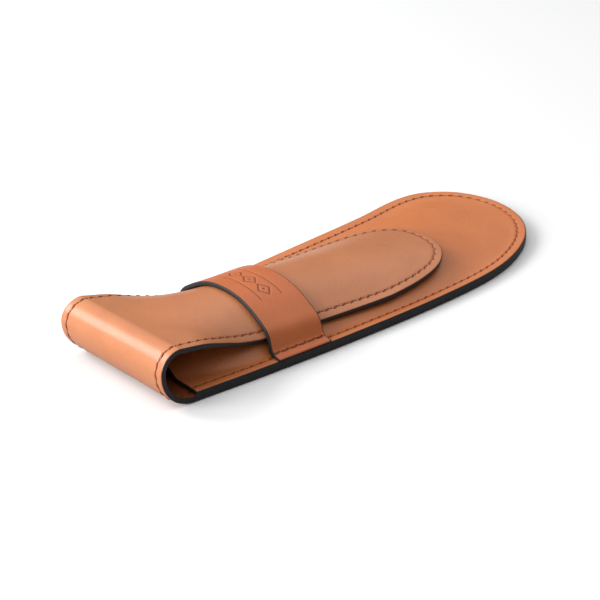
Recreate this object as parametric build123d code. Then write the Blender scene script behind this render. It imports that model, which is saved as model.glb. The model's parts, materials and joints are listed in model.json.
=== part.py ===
from build123d import *
from math import cos, hypot, pi, sin
import os

# Slip case for a folding razor: one strip of lined leather that is the back, rolls round the mouth and
# comes over the front as a tongue held under a sewn keeper band.
#
# Millimetres, +Z up. The case lies on its back: the underside is the plane Z = 0 and the origin is the middle
# of the pocket mouth on that plane. +X runs from the mouth to the toe, -Y is the straighter long side.

# Leather and thread
OUTER_THICK = 1.1        # grain layer of the strip
FILM = 0.05              # cement line between two layers
LINING_THICK = 0.75
STRIP_THICK = OUTER_THICK + FILM + LINING_THICK
PANEL_THICK = 1.45
BAND_THICK = 1.5
STITCH_PITCH = 3.6
STITCH_LENGTH = 2.9
THREAD_WIDTH = 0.7
THREAD_HEIGHT = 0.5
THREAD_PROUD = 0.22      # how far a stitch stands out of the leather
SEAM_INSET = 3.0         # stitch line to cut edge

# Fold roll round the mouth: a quarter turn of the lower radius, then one of the upper radius
STRIP_WIDTH = 52.0
LOWER_RADIUS = 13.0
UPPER_RADIUS = 7.5
FOLD_REACH = 14.0        # mouth to the outside of the fold
FIRST_HINGE = 3.0        # run along the fold to the first bending line
HINGE_STEP = 2 * STITCH_PITCH
LOWER_CENTRE_X = LOWER_RADIUS - FOLD_REACH
UPPER_CENTRE_X = UPPER_RADIUS - FOLD_REACH
CENTRE_Z = LOWER_RADIUS
FOLD_TOP_Z = LOWER_RADIUS + UPPER_RADIUS
LOWER_RUN = LOWER_RADIUS * pi / 2
HINGES = [FIRST_HINGE + i * HINGE_STEP for i in range(5)]

# Flap from the top of the fold to the tip, as (x, value) along the case
FLAP_CREST = [(UPPER_CENTRE_X, FOLD_TOP_Z), (12, 19.3), (32, 18.2), (54, 16.8), (90, 13.2), (126, 10.1)]
FLAP_EDGE = [(UPPER_CENTRE_X, FOLD_TOP_Z), (4, 18.6), (13, 15.2), (22, 11.7), (32, 9.4), (54, 8.4), (90, 8.0),
             (126, 8.3)]
FLAP_HALF = [(UPPER_CENTRE_X, 26.0), (4, 25.5), (18, 23.0), (32, 21.5), (54, 22.0), (80, 22.8), (100, 23.2),
             (126, 23.4)]
FLAP_STATIONS = [UPPER_CENTRE_X, -2, 3, 8, 14, 20, 26, 32, 43, 54, 66, 78, 90, 102, 114, 126]
LEVEL_START, LEVEL_END = 50, 85  # between these the flap's rims go from falling away to lying level
TIP_OUTLINE = [(88, -22.75), (103, -20.8), (114, -17.0), (121.5, -9.6), (124.0, 1.0), (122.0, 11.0),
               (115, 18.2), (104, 21.9), (96, 22.75)]

# Pocket
OUTLINE = [(0, -26), (25, -27.3), (62, -28.3), (103, -27.8), (136, -24.2), (158, -14.8), (170.5, -1.8),
           (174.9, 14.5), (170.4, 30.2), (160, 39.2), (148, 41.3), (126, 38.2), (84, 34.2), (30, 28.8), (0, 26)]
PANEL_LOW_Z = STRIP_THICK + FILM
PANEL_TOP_Z = PANEL_LOW_Z + PANEL_THICK
# Rise of the front panel above its border, with the near and far ends of the domed part
DOME = [(-4, -14.0, 16.0, 4.0), (0, -15.0, 17.0, 4.4), (14, -21.0, 21.6, 8.4), (32, -23.0, 23.8, 10.8),
        (54, -23.6, 24.2, 9.8), (80, -24.6, 24.6, 7.2), (105, -24.2, 25.6, 5.0), (130, -21.0, 30.0, 3.2),
        (150, -14.0, 33.0, 1.4), (166, -2.0, 28.0, 0.2), (178, -2.0, 28.0, 0.0)]

# Keeper band
BAND_START = 32.0
BAND_END = 54.0
BAND_CLEARANCE = 0.3     # band to flap
BAND_LOW_Z = PANEL_TOP_Z + FILM
BAND_FOOT = 4.0          # sewn foot of the band
BAND_HEEL = 0.5          # how much further in the underside of a foot runs than its top


def follow(profile, x):
    """Value at x of the smooth curve through the (x, value) pairs of profile."""
    last = len(profile) - 2
    i = max(k for k in range(last + 1) if k == 0 or profile[k][0] <= x)

    def slope(k):
        low, high = profile[max(k - 1, 0)], profile[min(k + 1, last + 1)]
        return (high[1] - low[1]) / (high[0] - low[0])

    (x0, a), (x1, b) = profile[i], profile[i + 1]
    span = x1 - x0
    t = (x - x0) / span
    rise = a + (b - a) * t * t * (3 - 2 * t)
    return rise + span * (slope(i) * t * (1 - t) ** 2 - slope(i + 1) * t * t * (1 - t))


def arch(x, v):
    """Drop of the flap's section at x, for v from 0 in the middle to 1 at either edge."""
    round_drop = (1 - (1 - (0.96 * v) ** 2) ** 0.65) / (1 - (1 - 0.96 ** 2) ** 0.65)
    level_drop = 1 - (1 - v ** 2.6) ** 1.6
    t = min(max((x - LEVEL_START) / (LEVEL_END - LEVEL_START), 0), 1)
    return round_drop + (level_drop - round_drop) * t * t * (3 - 2 * t)


def flap_height(x, y):
    """Height of the flap's grain side."""
    crest, edge = follow(FLAP_CREST, x), follow(FLAP_EDGE, x)
    v = min(abs(y) / follow(FLAP_HALF, x), 1.0)
    return crest - (crest - edge) * arch(x, v)


def shifted(points, distance):
    """The (y, z) points moved down across the line they make, by distance."""
    moved = []
    for k, (y, z) in enumerate(points):
        before, after = points[max(k - 1, 0)], points[min(k + 1, len(points) - 1)]
        dy, dz = after[0] - before[0], after[1] - before[1]
        length = hypot(dy, dz)
        moved.append((y + distance * dz / length, z - distance * dy / length))
    return moved


def at_x(x, points):
    return [Vector(x, y, z) for y, z in points]


def ribbon_face(x, top, bottom):
    """Section at x between two smooth lines of (y, z) points."""
    top, bottom = at_x(x, top), at_x(x, bottom)
    edges = [Spline(*top), Line(top[-1], bottom[-1]), Spline(*bottom[::-1]), Line(bottom[0], top[0])]
    return Face(Wire(edges))


# ---- the strip: back, fold and flap ----

def fold_point(run, depth=0.0):
    """Point and turn angle on the fold, run mm along its outside and depth mm into the leather."""
    if run < LOWER_RUN:
        turn, radius, centre = run / LOWER_RADIUS, LOWER_RADIUS, LOWER_CENTRE_X
    else:
        turn, radius, centre = pi / 2 + (run - LOWER_RUN) / UPPER_RADIUS, UPPER_RADIUS, UPPER_CENTRE_X
    reach = radius - depth
    return (centre - reach * sin(turn), CENTRE_Z - reach * cos(turn)), turn


def fold_piece(start, end, shallow, deep):
    """Leather of the fold between two runs and two depths, as one solid across the strip."""
    stops = [start, LOWER_RUN, end] if start < LOWER_RUN < end else [start, end]
    sectors = []
    for low, high in zip(stops, stops[1:]):
        runs = (low, (low + high) / 2, high)
        outside, inside = ([fold_point(run, depth)[0] for run in runs] for depth in (shallow, deep))
        outside, inside = ([(x, -STRIP_WIDTH / 2, z) for x, z in side] for side in (outside, inside))
        edges = [ThreePointArc(*outside), Line(outside[2], inside[2]), ThreePointArc(*inside[::-1]),
                 Line(inside[0], outside[0])]
        sectors.append(extrude(Face(Wire(edges)), STRIP_WIDTH, dir=(0, 1, 0)))
    return sectors[0].fuse(*sectors[1:]).clean() if len(sectors) > 1 else sectors[0]


def pocket_outline(height):
    """Prism of the pocket's outline from Z = 0, with the mouth as its straight side."""
    edge = Spline(*OUTLINE)
    return extrude(Face(Wire([edge, Line(edge @ 1, edge @ 0)])), height)


def back_layer(low, high):
    """One layer of the back with the start of the fold, between two heights over the underside."""
    flat = Pos(0, 0, low) * pocket_outline(high - low)
    neck = Pos(LOWER_CENTRE_X / 2, 0, (low + high) / 2) * Box(-LOWER_CENTRE_X, STRIP_WIDTH, high - low)
    return (flat + neck + fold_piece(0, HINGES[0], low, high)).clean()


def flap_line(x, depth):
    """Points across the flap at x, depth mm under its grain side."""
    half = follow(FLAP_HALF, x)
    top = [(v * half, flap_height(x, v * half)) for v in (i / 10 for i in range(-10, 11))]
    return shifted(top, depth)


def flap_layer(shallow, deep):
    """One layer of the flap: the last of the fold and the arched sheet, cut to the tongue's round tip."""
    sections = [ribbon_face(x, flap_line(x, shallow), flap_line(x, deep)) for x in FLAP_STATIONS]
    sheet = Solid.make_loft([face.outer_wire() for face in sections])
    tip = Spline(*TIP_OUTLINE, tangents=[(1, 0), (-1, 0)])
    wide = STRIP_WIDTH
    frame = Polyline(tip @ 1, (TIP_OUTLINE[-1][0], wide), (-wide, wide), (-wide, -wide),
                     (TIP_OUTLINE[0][0], -wide), tip @ 0)
    tongue = extrude(Face(Wire([tip, *frame.edges()])), 2 * FOLD_TOP_Z)
    fold_end = LOWER_RUN + UPPER_RADIUS * pi / 2
    return (sheet & tongue) + fold_piece(HINGES[-1], fold_end, shallow, deep)


# ---- pocket front and keeper ----

def dome_line(near, far, low, rise):
    """Points across the domed part of the panel, from its near end to its far end."""
    middle, half = (near + far) / 2, (far - near) / 2
    return [(middle + v * half, low + rise * (1 - abs(v) ** 2.5) ** 1.1)
            for v in (-1, -0.85, -0.6, -0.3, 0, 0.3, 0.6, 0.85, 1)]


def front_panel():
    """The single front layer: a flat border sewn to the back and a domed middle, open at the mouth."""
    margin = 50
    wires = []
    for x, near, far, rise in DOME:
        top = at_x(x, dome_line(near, far, PANEL_TOP_Z, rise))
        inset = PANEL_THICK / 2
        low = at_x(x, dome_line(near + inset, far - inset, PANEL_LOW_Z, rise))
        level = [(0, 1, 0), (0, 1, 0)]
        corners = at_x(x, [(-margin, PANEL_TOP_Z), (margin, PANEL_TOP_Z), (margin, PANEL_LOW_Z),
                           (-margin, PANEL_LOW_Z)])
        wires.append(Wire([
            Line(corners[0], top[0]), Spline(*top, tangents=level), Line(top[-1], corners[1]),
            Line(corners[1], corners[2]),
            Line(corners[2], low[-1]), Spline(*low, tangents=level), Line(low[0], corners[3]),
            Line(corners[3], corners[0]),
        ]))
    return Solid.make_loft(wires) & pocket_outline(2 * FOLD_TOP_Z)


def outline_crossings(x):
    """Near and far y of the pocket's outline at x."""
    reach = 2 * STRIP_WIDTH
    points = Spline(*OUTLINE).intersect(Line((x, -reach), (x, reach)))
    return sorted(Vector(point).Y for point in points)


def band_wire(x):
    """Section of the keeper band at x: level feet, steep sides and an arch over the flap."""
    margin = 50
    near, far = outline_crossings(x)
    arched = shifted(flap_line(x, 0), -BAND_CLEARANCE)
    inner = [(near + BAND_FOOT, BAND_LOW_Z), *arched, (far - BAND_FOOT, BAND_LOW_Z)]
    top_z = BAND_LOW_Z + BAND_THICK
    outer = [(near + BAND_FOOT - BAND_HEEL, top_z), *shifted(arched, -BAND_THICK),
             (far - BAND_FOOT + BAND_HEEL, top_z)]
    inner, outer = at_x(x, inner), at_x(x, outer)
    corners = at_x(x, [(-margin, top_z), (margin, top_z), (margin, BAND_LOW_Z), (-margin, BAND_LOW_Z)])
    return Wire([
        Line(corners[0], outer[0]), Spline(*outer), Line(outer[-1], corners[1]),
        Line(corners[1], corners[2]),
        Line(corners[2], inner[-1]), Spline(*inner[::-1]), Line(inner[0], corners[3]),
        Line(corners[3], corners[0]),
    ])


def keeper_band():
    """The strap sewn across the front, ends caught in the pocket seam and cut flush."""
    stations = [BAND_START, (BAND_START + BAND_END) / 2, BAND_END]
    return Solid.make_loft([band_wire(x) for x in stations]) & pocket_outline(2 * FOLD_TOP_Z)


# ---- thread: each stitch is a bar on the leather with a leg down its hole at either end ----

def stitch(point, along, out, leg, length=STITCH_LENGTH, proud=THREAD_PROUD):
    """One visible stitch at point, running along, standing proud towards out, with legs leg mm deep."""
    half, soft, sunk = length / 2, THREAD_HEIGHT / 3, proud - THREAD_HEIGHT
    inner = half - THREAD_HEIGHT
    outline = [(-half, -leg), (-half, proud - soft), (-half + soft, proud), (half - soft, proud),
               (half, proud - soft), (half, -leg), (inner, -leg), (inner, sunk), (-inner, sunk),
               (-inner, -leg)]
    plane = Plane(point, x_dir=along, z_dir=along.cross(out))
    return extrude(plane * Face(Wire(Polyline(*outline, close=True).edges())), THREAD_WIDTH / 2, both=True)


def inset_line(edge, distance, count):
    """Points of a level edge moved distance mm to its left."""
    points = []
    for k in range(count + 1):
        along = edge.tangent_at(k / count)
        points.append(edge.position_at(k / count) + Vector(-along.Y, along.X) * distance)
    return points


def seam_stations(path):
    """Points and directions at every whole stitch along path."""
    count = int(path.length / STITCH_PITCH)
    places = [(i + 0.5) / count for i in range(count)]
    return [(path.position_at(t), path.tangent_at(t)) for t in places]


def pocket_threads():
    """Needle stitches on the front and bobbin stitches, flush, on the underside."""
    path = Spline(*inset_line(Spline(*OUTLINE), SEAM_INSET, 40))
    up, down = Vector(0, 0, 1), Vector(0, 0, -1)
    middle = PANEL_TOP_Z / 2
    needle, bobbin = [], []
    for point, along in seam_stations(path):
        on_band = BAND_START < point.X < BAND_END
        top = BAND_LOW_Z + BAND_THICK if on_band else PANEL_TOP_Z
        needle.append(stitch(Vector(point.X, point.Y, top), along, up, top - middle - FILM))
        bobbin.append(stitch(Vector(point.X, point.Y, 0), along, down, middle - FILM, proud=0))
    return needle, bobbin


def fold_threads(start, end, count, proud=THREAD_PROUD):
    """Needle and bobbin stitches at both edges of the fold between two runs."""
    leg = STRIP_THICK / 2 - FILM
    length = min(STITCH_LENGTH, 0.8 * (end - start) / count)
    shrink = (UPPER_RADIUS - STRIP_THICK) / UPPER_RADIUS
    needle, bobbin = [], []
    for side in (-1, 1):
        y = side * (STRIP_WIDTH / 2 - SEAM_INSET)
        for k in range(count):
            run = start + (k + 0.5) * (end - start) / count
            (x, z), turn = fold_point(run)
            (low_x, low_z), turn = fold_point(run, STRIP_THICK)
            out = Vector(-sin(turn), 0, -cos(turn))
            along = Vector(-cos(turn), 0, sin(turn))
            needle.append(stitch(Vector(x, y, z), along, out, leg, length, proud))
            bobbin.append(stitch(Vector(low_x, y, low_z), along, out * -1, leg, length * shrink))
    return needle, bobbin


def flap_seam_path():
    """The flap's stitch line seen from above, from the fold along the near edge, round the tip and back."""
    sides = []
    for x in FLAP_STATIONS:
        if x < TIP_OUTLINE[0][0]:
            across = Spline(*at_x(x, flap_line(x, 0)))
            sides.append((x, abs(across.position_at(SEAM_INSET / across.length).Y)))
    rounding = inset_line(Spline(*TIP_OUTLINE, tangents=[(1, 0), (-1, 0)]), SEAM_INSET, 10)
    near = [(x, -y) for x, y in sides]
    far = [(x, y) for x, y in reversed(sides)]
    return Spline(*near, *rounding[1:-1], *far)


def flap_threads():
    """Needle and bobbin stitches of the flap, following its arched sheet."""
    leg = STRIP_THICK / 2 - FILM
    step = 0.1
    needle, bobbin = [], []
    for point, heading in seam_stations(flap_seam_path()):
        x, y = point.X, point.Y
        slope_x = (flap_height(x + step, y) - flap_height(x - step, y)) / (2 * step)
        slope_y = (flap_height(x, y + step) - flap_height(x, y - step)) / (2 * step)
        out = Vector(-slope_x, -slope_y, 1).normalized()
        along = Vector(heading.X, heading.Y, heading.X * slope_x + heading.Y * slope_y).normalized()
        top = Vector(x, y, flap_height(x, y))
        needle.append(stitch(top, along, out, leg))
        bobbin.append(stitch(top - out * STRIP_THICK, along, out * -1, leg))
    return needle, bobbin


# ---- the pieces ----

def pieces():
    """Every node of the case by name."""
    grain, lining = (0, OUTER_THICK), (OUTER_THICK + FILM, STRIP_THICK)
    mouth_needle, mouth_bobbin = fold_threads(0, HINGES[0], 1, proud=0)
    pocket_needle, pocket_bobbin = pocket_threads()
    made = {
        "back_outer": back_layer(*grain),
        "back_lining": back_layer(*lining),
        "front_panel": front_panel(),
        "keeper_band": keeper_band(),
        "pocket_needle_thread": Compound(pocket_needle),
        "pocket_bobbin_thread": Compound(pocket_bobbin),
        "mouth_needle_thread": Compound(mouth_needle),
        "mouth_bobbin_thread": Compound(mouth_bobbin),
    }
    for k, (start, end) in enumerate(zip(HINGES, HINGES[1:]), start=1):
        needle, bobbin = fold_threads(start, end, 2)
        made[f"fold_{k}_outer"] = fold_piece(start, end, *grain)
        made[f"fold_{k}_lining"] = fold_piece(start, end, *lining)
        made[f"fold_{k}_needle_thread"] = Compound(needle)
        made[f"fold_{k}_bobbin_thread"] = Compound(bobbin)
    needle, bobbin = flap_threads()
    made["flap_outer"] = flap_layer(*grain)
    made["flap_lining"] = flap_layer(*lining)
    made["flap_needle_thread"] = Compound(needle)
    made["flap_bobbin_thread"] = Compound(bobbin)
    return made


os.makedirs("parts", exist_ok=True)
for name, shape in pieces().items():
    export_step(shape, f"parts/{name}.step")
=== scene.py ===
"""Looks of the leather slip case: lined strip that rolls over the mouth, front panel, keeper band, stitching.

The shapes are worked out in millimetres in the CAD frame, and go into Blender in metres.
"""
import json

import bpy
import numpy as np
from mathutils import Matrix, Vector

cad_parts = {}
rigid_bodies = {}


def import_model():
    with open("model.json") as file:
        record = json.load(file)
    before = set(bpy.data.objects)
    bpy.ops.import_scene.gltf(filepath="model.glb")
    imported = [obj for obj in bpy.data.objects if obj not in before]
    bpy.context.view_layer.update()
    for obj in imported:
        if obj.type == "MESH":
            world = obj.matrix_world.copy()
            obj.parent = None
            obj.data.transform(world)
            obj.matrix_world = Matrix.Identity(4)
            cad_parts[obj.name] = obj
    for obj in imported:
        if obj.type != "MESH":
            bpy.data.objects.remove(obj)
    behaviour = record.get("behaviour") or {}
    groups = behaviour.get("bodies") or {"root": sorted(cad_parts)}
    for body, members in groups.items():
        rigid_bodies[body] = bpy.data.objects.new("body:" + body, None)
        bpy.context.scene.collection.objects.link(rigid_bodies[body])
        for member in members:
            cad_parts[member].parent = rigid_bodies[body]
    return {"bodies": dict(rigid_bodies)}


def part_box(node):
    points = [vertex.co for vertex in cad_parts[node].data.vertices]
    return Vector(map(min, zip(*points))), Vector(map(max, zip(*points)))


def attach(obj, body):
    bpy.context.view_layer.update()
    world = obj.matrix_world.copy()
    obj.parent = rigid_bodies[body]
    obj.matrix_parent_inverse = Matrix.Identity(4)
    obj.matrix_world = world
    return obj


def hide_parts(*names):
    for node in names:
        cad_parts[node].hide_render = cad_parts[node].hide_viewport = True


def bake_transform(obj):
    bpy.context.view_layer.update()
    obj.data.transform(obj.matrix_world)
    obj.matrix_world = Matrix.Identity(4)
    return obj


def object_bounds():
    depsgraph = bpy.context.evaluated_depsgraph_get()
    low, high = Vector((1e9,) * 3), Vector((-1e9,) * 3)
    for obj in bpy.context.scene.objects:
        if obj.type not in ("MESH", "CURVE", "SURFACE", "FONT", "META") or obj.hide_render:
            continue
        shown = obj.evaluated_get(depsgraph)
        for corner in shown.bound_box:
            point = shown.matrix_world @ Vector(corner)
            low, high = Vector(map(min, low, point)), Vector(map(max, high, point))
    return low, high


MM = 0.001
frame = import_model()
cad_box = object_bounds()


def box_mm(node):
    """Lowest and highest corners of a CAD node in millimetres."""
    low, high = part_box(node)
    return np.array(low) / MM, np.array(high) / MM


# ---- sizes read from the frame, mm ----
fold_low, fold_high = box_mm("fold_2_outer")
flap_high = box_mm("flap_outer")[1]
band_low, band_high = box_mm("keeper_band")
STRIP_HALF = fold_high[1]
FOLD_OUT = fold_low[0]
TOP_Z = flap_high[2]
BAND_START, BAND_END = band_low[0], band_high[0]

# ---- leather and thread, mm ----
OUTER_THICK = 1.12
STRIP_THICK = 1.9
LAYER_GAP = 0.01         # between the outer leather and its lining
LINING_INSET = 0.56      # the lining's edge is hidden behind the outer leather's painted edge
PANEL_LOW = 1.93
PANEL_TOP = 3.4
PANEL_THICK = PANEL_TOP - PANEL_LOW
PANEL_INSET = 0.25
BAND_LOW = 3.43
BAND_THICK = 1.5
SEAM_INSET = 3.0
STITCH_PITCH = 3.6
GROOVE_DEPTH = 0.14      # how deep the stitching draws the leather in
GROOVE_REACH = 0.4

# ---- the fold roll ----
LOWER_RADIUS = 13.0
UPPER_RADIUS = TOP_Z - LOWER_RADIUS
LOWER_X = FOLD_OUT + LOWER_RADIUS
UPPER_X = FOLD_OUT + UPPER_RADIUS
LOWER_RUN = LOWER_RADIUS * np.pi / 2
FOLD_RUN = LOWER_RUN + UPPER_RADIUS * np.pi / 2

# ---- flap, as (x, value) along the case ----
# Heights of its middle and of its edges, and half its width
CREST = [(UPPER_X, TOP_Z), (12, 19.3), (32, 18.2), (54, 16.8), (90, 13.2), (126, 10.1)]
EDGE = [(UPPER_X, TOP_Z), (4, 18.6), (13, 15.2), (22, 11.7), (32, 9.4), (54, 8.4), (90, 8.0), (126, 8.3)]
HALF = [(UPPER_X, STRIP_HALF), (4, 25.5), (18, 23.0), (32, 21.5), (54, 22.0), (80, 22.8), (100, 23.2),
        (126, 23.4)]
ROUND_SHARE = 0.96       # how much of a full round its section takes up near the roll
ROUND_POWER = 0.65
LEVEL_POWERS = (2.6, 1.6)                  # of its section where its rims lie level
LEVEL_RIM = (50, 85)     # between these its rims go from falling away to lying level
SOFT_RIM = 0.45          # how far they do so already at SOFT_RIM_X, before the keeper band
SOFT_RIM_X = 14
TIP_START = 80           # here the outline goes over from HALF to TIP
TIP = [(88, -22.75), (103, -20.8), (114, -17.0), (121.5, -9.6), (124.0, 1.0), (122.0, 11.0), (115, 18.2),
       (104, 21.9), (96, 22.75)]
# How much lower, as a share of its height, the soft roll and flap lie at their far side
SETTLE = [(UPPER_X, 0.05), (2, 0.085), (10, 0.09), (30, 0.04), (50, 0)]
FAR_BULGE = 0.6          # how much further out the far end of the roll stands

# ---- pocket ----
OUTLINE = [(0, -26), (25, -27.3), (62, -28.3), (103, -27.8), (136, -24.2), (158, -14.8), (170.5, -1.8),
           (174.9, 14.5), (170.4, 30.2), (160, 39.2), (148, 41.3), (126, 38.2), (84, 34.2), (30, 28.8),
           (0, 26)]
# Near and far y where the front panel's dome starts, and how high it stands over the border
DOME_NEAR = [(0, -15.0), (14, -21.0), (32, -23.0), (54, -23.6), (80, -24.6), (105, -24.2), (130, -21.0),
             (150, -14.0), (166, -2.0), (178, -2.0)]
DOME_FAR = [(0, 17.0), (14, 21.6), (32, 23.8), (54, 24.2), (80, 24.6), (105, 25.6), (130, 30.0), (150, 33.0),
            (166, 28.0), (178, 28.0)]
DOME_RISE = [(0, 4.4), (14, 8.4), (32, 10.8), (54, 9.8), (80, 7.2), (105, 5.0), (130, 3.2), (150, 1.4),
             (166, 0.2), (178, 0.0)]
DOME_POWERS = (2.5, 1.1)

# ---- cut edges, mm ----
PAINT_WRAP = 0.22        # how far the edge paint comes round a rounded edge
EDGE_ROUND = 0.5         # radius of a rounded edge
EDGE_STEPS = np.array([0, 0.06, PAINT_WRAP, EDGE_ROUND])       # distances from the edge that shape it
PAINT_END = 0.02         # the paint stops this far short of the lower face
RIM = np.array([0.5, 0.8, 1.2, 1.7, 2.2, 2.55, 2.75, 3.0, 3.25, 3.45, 3.8, 4.4, 5.2])  # columns of a border
MIDDLE_COLUMNS = 44
MID_SHEET = 9.0          # distance that stands for being far from any edge


def follow(profile, x):
    """Values at x of the smooth curve through the (x, value) pairs of profile."""
    px, pv = np.array(profile, float).T
    x = np.clip(np.asarray(x, float), px[0], px[-1])
    low, high = np.maximum(np.arange(len(px)) - 1, 0), np.minimum(np.arange(len(px)) + 1, len(px) - 1)
    slope = (pv[high] - pv[low]) / (px[high] - px[low])
    i = np.clip(np.searchsorted(px, x, side="right") - 1, 0, len(px) - 2)
    span = px[i + 1] - px[i]
    t = (x - px[i]) / span
    base = pv[i] + (pv[i + 1] - pv[i]) * t * t * (3 - 2 * t)
    return base + span * (slope[i] * t * (1 - t) ** 2 - slope[i + 1] * t * t * (1 - t))


def unit(v):
    """The directions of vectors."""
    return v / np.maximum(np.linalg.norm(v, axis=-1, keepdims=True), 1e-12)


def lengths(line):
    """Distance run along a line of points, at each point."""
    return np.concatenate([[0], np.cumsum(np.linalg.norm(np.diff(line, axis=0), axis=1))])


def resample(line, runs):
    """Points of a line at the given distances along it."""
    at = lengths(line)
    return np.stack([np.interp(runs, at, line[:, k]) for k in range(line.shape[1])], 1)


def smooth_line(points, count=1200):
    """A fine smooth line through the given points."""
    points = np.array(points, float)
    steps = lengths(points)
    fine = np.linspace(0, steps[-1], count)
    line = np.stack([follow(np.stack([steps, points[:, k]], 1), fine) for k in range(points.shape[1])], 1)
    return resample(line, np.linspace(0, lengths(line)[-1], count))


# ---- surfaces: each takes plan positions and depths into the leather, and gives points ----

def ease(value, low, high):
    """Smooth step from 0 at low to 1 at high."""
    t = np.clip((value - low) / (high - low), 0, 1)
    return t * t * (3 - 2 * t)


def far_share(y):
    """0 at the strip's near edge, 1 at its far edge."""
    return (y + STRIP_HALF) / (2 * STRIP_HALF)


def settle(x, y):
    """How much lower the flap and the roll lie towards their far side, as a share of their height."""
    return follow(SETTLE, x) * far_share(y)


def flap_height(x, y):
    """Height of the flap's outside: a round arch near the roll, and one with level rims towards the tip."""
    crest, edge, half = follow(CREST, x), follow(EDGE, x), follow(HALF, x)
    v = np.clip(np.abs(y) / half, 0, 1)
    round_drop = 1 - (1 - (ROUND_SHARE * v) ** 2) ** ROUND_POWER
    round_drop = round_drop / (1 - (1 - ROUND_SHARE ** 2) ** ROUND_POWER)
    level_drop = 1 - (1 - v ** LEVEL_POWERS[0]) ** LEVEL_POWERS[1]
    level = SOFT_RIM * ease(x, UPPER_X, SOFT_RIM_X) + (1 - SOFT_RIM) * ease(x, *LEVEL_RIM)
    drop = round_drop + (level_drop - round_drop) * level
    return (crest - (crest - edge) * drop) * (1 - settle(x, y))


def panel_height(x, y):
    """Height of the front panel's outside: a flat border and a dome."""
    near, far, rise = follow(DOME_NEAR, x), follow(DOME_FAR, x), follow(DOME_RISE, x)
    v = np.clip(np.abs(2 * y - near - far) / (far - near), 0, 1)
    return PANEL_TOP + rise * (1 - v ** DOME_POWERS[0]) ** DOME_POWERS[1]


def sheet_place(height):
    """Places plan positions on a height function, sunk along its normal by depth."""
    def place(plan, depth):
        x, y = plan[..., 0], plan[..., 1]
        step = 0.05
        slope_x = (height(x + step, y) - height(x - step, y)) / (2 * step)
        slope_y = (height(x, y + step) - height(x, y - step)) / (2 * step)
        normal = unit(np.stack([-slope_x, -slope_y, np.ones_like(x)], -1))
        return np.stack([x, y, height(x, y)], -1) - normal * np.asarray(depth)[..., None]
    return place


place_panel = sheet_place(panel_height)
place_arch = sheet_place(flap_height)


def place_strip(plan, depth):
    """Places (run, y) on the strip. Run is 0 where the fold leaves the ground, negative on the back."""
    run, y = plan[..., 0], plan[..., 1]
    depth = np.broadcast_to(depth, run.shape)
    lower = np.clip(run, 0, LOWER_RUN) / LOWER_RADIUS
    upper = np.clip(run - LOWER_RUN, 0, FOLD_RUN - LOWER_RUN) / UPPER_RADIUS
    turn = lower + upper
    radius = np.where(run < LOWER_RUN, LOWER_RADIUS, UPPER_RADIUS) - depth
    centre = np.where(run < LOWER_RUN, LOWER_X, UPPER_X)
    sag = settle(UPPER_X, y) * (LOWER_RADIUS - (radius + depth) * np.cos(turn)) * (1 - np.cos(turn)) / 2
    out = radius + FAR_BULGE * far_share(y)
    fold = np.stack([centre - out * np.sin(turn), y, LOWER_RADIUS - radius * np.cos(turn) - sag], -1)
    back = np.stack([LOWER_X - run, y, depth], -1)
    arch = place_arch(np.stack([UPPER_X + run - FOLD_RUN, y], -1), depth)
    run = run[..., None]
    return np.where(run < 0, back, np.where(run < FOLD_RUN, fold, arch))


# ---- sheets: rows of columns from the near edge to the far edge ----

def leaf_rows(line, shares):
    """Pairs the two sides of an outline, from its open end to its tip, at shares of their length.

    Gives near and far points, and the directions into the leather there, for each row.
    """
    split = int(np.argmax(line[:, 0]))
    sides = []
    for side, turn in ((line[:split + 1], 1), (line[split:][::-1], -1)):
        points = resample(side, lengths(side)[-1] * shares)
        along = unit(np.gradient(points, axis=0))
        inward = turn * np.stack([-along[:, 1], along[:, 0]], 1)
        inward[0] = (0, turn)
        sides.append((points, inward))
    tip = unit(sides[0][1][-1] + sides[1][1][-1])
    sides[0][1][-1] = sides[1][1][-1] = tip
    return sides


def straight_rows(starts, half_width):
    """The same pairs for straight rows at the given first coordinates."""
    sides = []
    for turn in (1, -1):
        points = np.stack([starts, np.full(len(starts), -turn) * half_width], 1)
        sides.append((points, np.tile((0.0, float(turn)), (len(starts), 1))))
    return sides


def joined(*row_sets):
    """One set of rows out of several, end to end."""
    return [tuple(np.concatenate([rows[k][part] for rows in row_sets]) for part in (0, 1)) for k in (0, 1)]


def slant(place, points, inward):
    """Plan length of one millimetre of leather, going inward from each edge point."""
    first, last = 0.3, 1.5
    ahead = place(points + last * unit(inward), np.zeros(len(points)))
    here = place(points + first * unit(inward), np.zeros(len(points)))
    return (last - first) / np.maximum(np.linalg.norm(ahead - here, axis=1), last - first)


def groove(distance):
    """How deep the stitching draws the leather in, at a distance from the edge."""
    return GROOVE_DEPTH * np.exp(-((distance - SEAM_INSET) / GROOVE_REACH) ** 2)


def rounding(distance):
    """Depth of a rounded edge's surface at a distance from the edge."""
    gap = np.clip(EDGE_ROUND - distance, 0, EDGE_ROUND)
    return EDGE_ROUND - np.sqrt(EDGE_ROUND ** 2 - gap ** 2)


def cut_edge(thick):
    """Section of a painted edge as (distance, depth) pairs, round at both corners."""
    steps = EDGE_STEPS[2::-1]
    down = rounding(steps)
    return [*zip(steps, down), *zip(steps[::-1], thick - down[::-1]), (EDGE_ROUND, thick - PAINT_END)]


UPPER_KIND, EDGE_KIND, LOWER_KIND = range(3)           # places of a face in the materials of a sheet


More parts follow.
